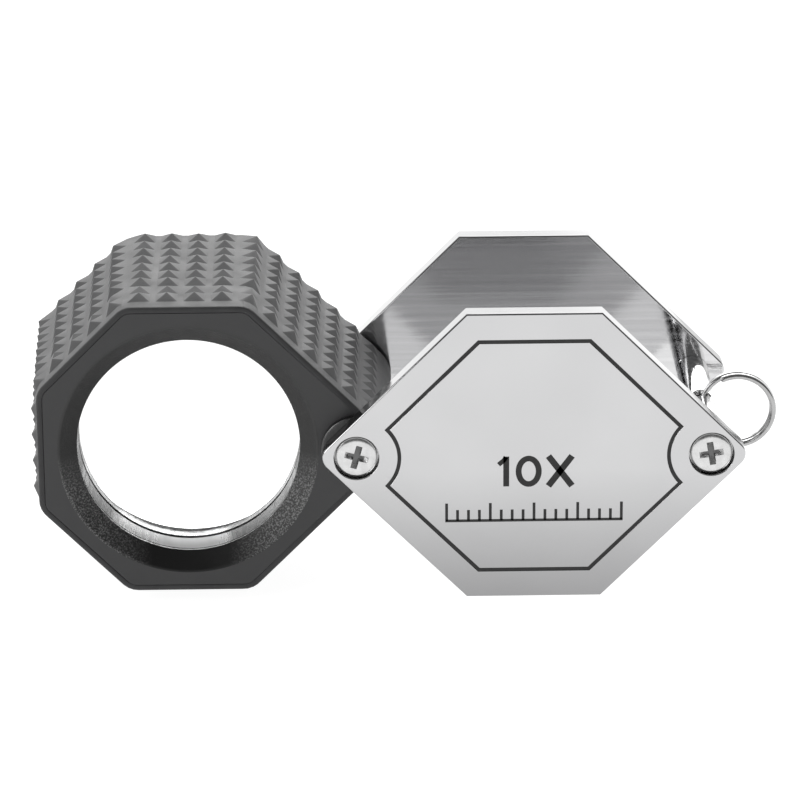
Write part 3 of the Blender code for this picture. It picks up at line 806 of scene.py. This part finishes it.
def make_grip():
    """Rubber sleeve with rows of four-sided studs, flaring to the rear, in one closed mesh."""
    random.seed(7)
    base_half_flat = GRIP_HALF_FLAT - STUD_HEIGHT
    track = Track(housing_outline(base_half_flat, EAR_RADIUS + RUBBER_ON_EAR, GRIP_CORNER, 12))
    stations = grip_stations(track)
    spots = [(track.place(distance), track.outward(distance)) for distance, _ in stations]
    shape = bmesh.new()

    def ring(rise, y):
        made = []
        for spot, outward in spots:
            put = spot + outward * (rise + FLARE * (y + HOUSING_HALF_DEPTH))
            made.append(shape.verts.new((LENS_X + put.x, y, CENTRE_Z + put.y)))
        return made

    def skin(first, second):
        for index in range(len(spots)):
            after = (index + 1) % len(spots)
            shape.faces.new((first[index], second[index], second[after], first[after]))

    half = HOUSING_HALF_DEPTH
    first, last = SMOOTH_BAND - half, half - 0.18 * MM
    rows = [first + (last - first) * row / STUD_ROWS for row in range(STUD_ROWS + 1)]
    stud_rings = [ring(0.0, y) for y in rows]
    edge = [(-0.03 * MM, 0.12 * MM), (-0.11 * MM, 0.04 * MM), (-0.24 * MM, 0.0), (-0.5 * MM, 0.0),
            (-0.58 * MM, 0.05 * MM), (-0.6 * MM, GROOVE_DEPTH), (-1.1 * MM, GROOVE_DEPTH)]
    front = [stud_rings[0], ring(0.0, 0.26 * MM - half)] + [ring(rise, back - half) for rise, back in edge]
    rear = [stud_rings[-1]] + [ring(rise, half - back) for rise, back in edge]
    for near, far in zip(front, front[1:]):
        skin(far, near)
    for near, far in zip(rear, rear[1:]):
        skin(near, far)
    skin(rear[-1], front[-1])

    for row in range(STUD_ROWS):
        near, far = stud_rings[row], stud_rings[row + 1]
        index = 0
        while index < len(spots):
            column = stations[index][1]
            after = (index + 1) % len(spots)
            if column is None or stations[after][1] != column:
                shape.faces.new((near[index], far[index], far[after], near[after]))
                index += 1
                continue
            spot, outward = spots[index + 2]
            fade = min(1.0, (COLUMNS_EACH_WAY + 1.2 - abs(column)) / 2)
            share = LOW_ROW_SHARE if row == LOW_ROW else 1.0
            tall = STUD_HEIGHT * fade * random.uniform(0.9, 1.0) * share
            middle = (rows[row] + rows[row + 1]) / 2
            tip = spot + outward * (tall + FLARE * (middle + HOUSING_HALF_DEPTH))
            apex = shape.verts.new((LENS_X + tip.x, middle, CENTRE_Z + tip.y))
            for part in range(index, index + 4):
                shape.faces.new((near[part], apex, near[part + 1]))
                shape.faces.new((far[part + 1], apex, far[part]))
            shape.faces.new((near[index], far[index], apex))
            shape.faces.new((near[index + 4], apex, far[index + 4]))
            index += 4
    bmesh.ops.recalc_face_normals(shape, faces=shape.faces)
    mesh = bpy.data.meshes.new("rubber_grip_studded")
    shape.to_mesh(mesh)
    shape.free()
    grip = add_mesh("rubber_grip_studded", mesh, RUBBER)
    bevel(grip, 0.05 * MM, 24, 2)
    smooth(grip, 28)
    finish_piece(grip, "lens", "rubber_grip")


# ---------------------------------------------------------------- optics

def make_bezel(node, side):
    place = at(LENS_X, side * HOUSING_HALF_DEPTH, CENTRE_Z) @ (FRONT if side < 0 else REAR)
    deep, soft = BEZEL_DEPTH, 0.06 * MM
    seam = BEZEL_RADIUS + CLEAR
    profile = [(seam, 0.0), (seam, -deep), (APERTURE_RADIUS, -deep),
               (APERTURE_RADIUS, 0.25 * MM - deep), (APERTURE_RADIUS + soft, 0.34 * MM - deep),
               (COUNTERSINK_RADIUS - 0.12 * MM, -0.14 * MM), (COUNTERSINK_RADIUS - soft, -0.05 * MM),
               (COUNTERSINK_RADIUS + 0.04 * MM, 0.0)]
    bezel = turned(f"{node}_moulded", profile, place, BEZEL, 192)
    smooth(bezel, 30)
    finish_piece(bezel, "lens", node)


def surface_rise(curve, radius):
    return math.sqrt(curve ** 2 - radius ** 2) - math.sqrt(curve ** 2 - LENS_RADIUS ** 2)


def make_retainer(node, side):
    place = at(LENS_X, 0.0, CENTRE_Z) @ (FRONT if side < 0 else REAR)
    top = HOUSING_HALF_DEPTH - BEZEL_DEPTH - 2 * CLEAR
    foot = LENS_HALF_EDGE + CLEAR
    seat = foot + surface_rise(OUTER_CURVE, APERTURE_RADIUS)
    groove, deep = HOUSING_HALF_DEPTH - RETAINER_GROOVE, APERTURE_RADIUS + 0.25 * MM
    profile = [(LENS_RADIUS, top), (LENS_RADIUS, foot), (APERTURE_RADIUS + 0.1 * MM, seat),
               (APERTURE_RADIUS, seat + 0.1 * MM), (APERTURE_RADIUS, seat + 0.5 * MM),
               (APERTURE_RADIUS, groove - GROOVE_WIDTH),
               (deep, groove - GROOVE_WIDTH), (deep, groove), (APERTURE_RADIUS, groove),
               (APERTURE_RADIUS, top - 0.06 * MM), (APERTURE_RADIUS + 0.06 * MM, top)]
    ring = turned(f"{node}_turned", profile, place, TURNED, 192)
    ring.data.materials.append(RECESS_PAINTED_SHADE_STEEL)
    ring.data.materials.append(TURNED_BRIGHT)
    for face in ring.data.polygons:
        height = face.center.z
        in_groove = groove - GROOVE_WIDTH - 0.001 * MM < height < groove + 0.001 * MM
        # painted shade: the groove and the faces by the seat take the dark steel
        dark = in_groove or height < seat + 0.55 * MM
        # slot 0 carries the bore's painted shade towards the mouth; slot 2, the painted light, is the
        # lighter copy for the band behind the groove
        face.material_index = 1 if dark else (0 if height > groove else 2)
    smooth(ring, 30)
    finish_piece(ring, "lens", node)


def make_glass():
    """The three cemented elements look like one clear body."""
    radii = [LENS_RADIUS * math.sin(math.pi / 2 * step / 40) for step in range(41)]
    front = [(radius, LENS_HALF_EDGE + surface_rise(OUTER_CURVE, radius)) for radius in radii]
    rear = [(radius, -height) for radius, height in reversed(front)]
    glass = turned("triplet_polished", front + rear, at(LENS_X, 0.0, CENTRE_Z) @ FRONT, GLASS, 192)
    finish_piece(glass, "lens", "front_flint_element", "crown_element", "rear_flint_element")


# ---------------------------------------------------------------- split ring

def ring_point(angle):
    """Centre line of the ring; it crosses from its front layer to the rear one in the post."""
    share = min(abs(angle - math.pi) / SINGLE_ARC, 1.0)
    layer = -1 if angle > math.pi else 1
    return (SPACER_X + LOOP_RADIUS * (1 + math.cos(angle)),
            layer * LAYER_OFFSET * math.sin(share * math.pi / 2),
            CENTRE_Z - RING_HANG + LOOP_RADIUS * math.sin(angle))


def make_split_ring():
    points = 220
    start = 3 * math.pi - SINGLE_ARC
    sweep = 4 * math.pi - 2 * SINGLE_ARC
    wire = bpy.data.curves.new("split_ring_wire", "CURVE")
    wire.dimensions = "3D"
    wire.bevel_depth = WIRE_RADIUS
    wire.bevel_resolution = 6
    wire.use_fill_caps = True
    spline = wire.splines.new("POLY")
    spline.points.add(points)
    for step, point in enumerate(spline.points):
        point.radius = 0.8 if step in (0, points) else 1.0
        point.co = (*ring_point(start - sweep * step / points), 1.0)
    ring = bpy.data.objects.new("split_ring_wire", wire)
    bpy.context.scene.collection.objects.link(ring)
    wire.materials.append(RING_STEEL)
    finish_piece(ring, "ring", "split_ring")


# ---------------------------------------------------------------- CAD pieces that stay as they are

def dress_cad(node, look):
    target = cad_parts[node]
    if not target.material_slots:
        target.data.materials.append(look)
    for holder in target.material_slots:
        holder.material = look


# ---------------------------------------------------------------- stage

def make_floor():
    shape = bmesh.new()
    bmesh.ops.create_grid(shape, x_segments=1, y_segments=1, size=2.0)
    mesh = bpy.data.meshes.new("floor")
    shape.to_mesh(mesh)
    shape.free()
    add_mesh("floor", mesh, floor_material(), at(0.0, 0.0, CAD_BOX[0][2] - FLOOR_DROP))


def make_world():
    """Soft studio surround: bright behind and above, dimmer towards the front."""
    world = bpy.data.worlds.new("studio")
    bpy.context.scene.world = world
    world.use_nodes = True
    nodes, links = world.node_tree.nodes, world.node_tree.links
    place = nodes.new("ShaderNodeTexCoord")
    split = nodes.new("ShaderNodeSeparateXYZ")
    links.new(place.outputs["Generated"], split.inputs["Vector"])
    fade = nodes.new("ShaderNodeMapRange")
    fade.interpolation_type = "SMOOTHSTEP"
    fade.inputs["From Min"].default_value = WORLD_FADE[0]
    fade.inputs["From Max"].default_value = WORLD_FADE[1]
    fade.inputs["To Min"].default_value = WORLD_FRONT
    fade.inputs["To Max"].default_value = WORLD_BACK
    links.new(split.outputs["Y"], fade.inputs["Value"])
    links.new(fade.outputs["Result"], nodes["Background"].inputs["Strength"])
    nodes["Background"].inputs["Color"].default_value = (1.0, 1.0, 1.0, 1.0)


def make_light(name, energy, size, place, target):
    data = bpy.data.lights.new(name, "AREA")
    data.energy = energy
    data.shape = "RECTANGLE"
    data.size, data.size_y = size
    lamp = bpy.data.objects.new(name, data)
    bpy.context.scene.collection.objects.link(lamp)
    lamp.location = place
    lamp.rotation_euler = (Vector(target) - Vector(place)).to_track_quat("-Z", "Y").to_euler()


def make_camera():
    azimuth, elevation = math.radians(CAMERA_AZIMUTH), math.radians(CAMERA_ELEVATION)
    target = Vector((PLATE_X - AIM_LEFT_OF_PLATE, 0.0, CENTRE_Z + AIM_ABOVE_CENTRE))
    away = Vector((math.sin(azimuth) * math.cos(elevation), -math.cos(azimuth) * math.cos(elevation),
                   math.sin(elevation)))
    data = bpy.data.cameras.new("camera")
    data.lens = CAMERA_LENS
    data.sensor_width = CAMERA_SENSOR
    data.clip_start = 0.01
    camera = bpy.data.objects.new("camera", data)
    bpy.context.scene.collection.objects.link(camera)
    camera.matrix_world = (Matrix.Translation(target + away * CAMERA_DISTANCE)
                           @ (-away).to_track_quat("-Z", "Y").to_matrix().to_4x4()
                           @ Matrix.Rotation(math.radians(CAMERA_ROLL), 4, "Z"))
    bpy.context.scene.camera = camera


def main():
    bpy.context.scene.view_settings.view_transform = "Standard"
    make_camera()
    make_floor()
    make_world()
    make_light("top_softbox", 2.0, (0.5, 0.3), (0.05, 0.38, 0.34), (0.0, 0.0, 0.01))
    make_light("left_fill", 1.3, (0.3, 0.3), (-0.42, -0.28, 0.2), (-0.02, 0.0, 0.01))
    make_plate("front_cover", -1, border=True)
    make_plate("rear_cover", 1, border=False)
    make_border_fill()
    make_marking()
    screws = (("front_pivot_screw", PIVOT_X, -1, -15), ("front_spacer_screw", SPACER_X, -1, 9),
              ("rear_pivot_screw", PIVOT_X, 1, 60), ("rear_spacer_screw", SPACER_X, 1, 17))
    for node, x, side, turn in screws:
        make_screw(node, x, side, turn)
    make_post("pivot_post", PIVOT_X, ring_hole=False)
    make_post("spacer_post", SPACER_X, ring_hole=True)
    make_washer("front_friction_washer", -1)
    make_washer("rear_friction_washer", 1)
    make_housing()
    make_grip()
    for node, side in (("front_bezel", -1), ("rear_bezel", 1)):
        make_bezel(node, side)
    for node, side in (("front_retaining_ring", -1), ("rear_retaining_ring", 1)):
        make_retainer(node, side)
    make_glass()
    make_split_ring()
    dress_cad("lens_barrel", TURNED)
    dress_cad("pivot_bush", BRASS)


main()
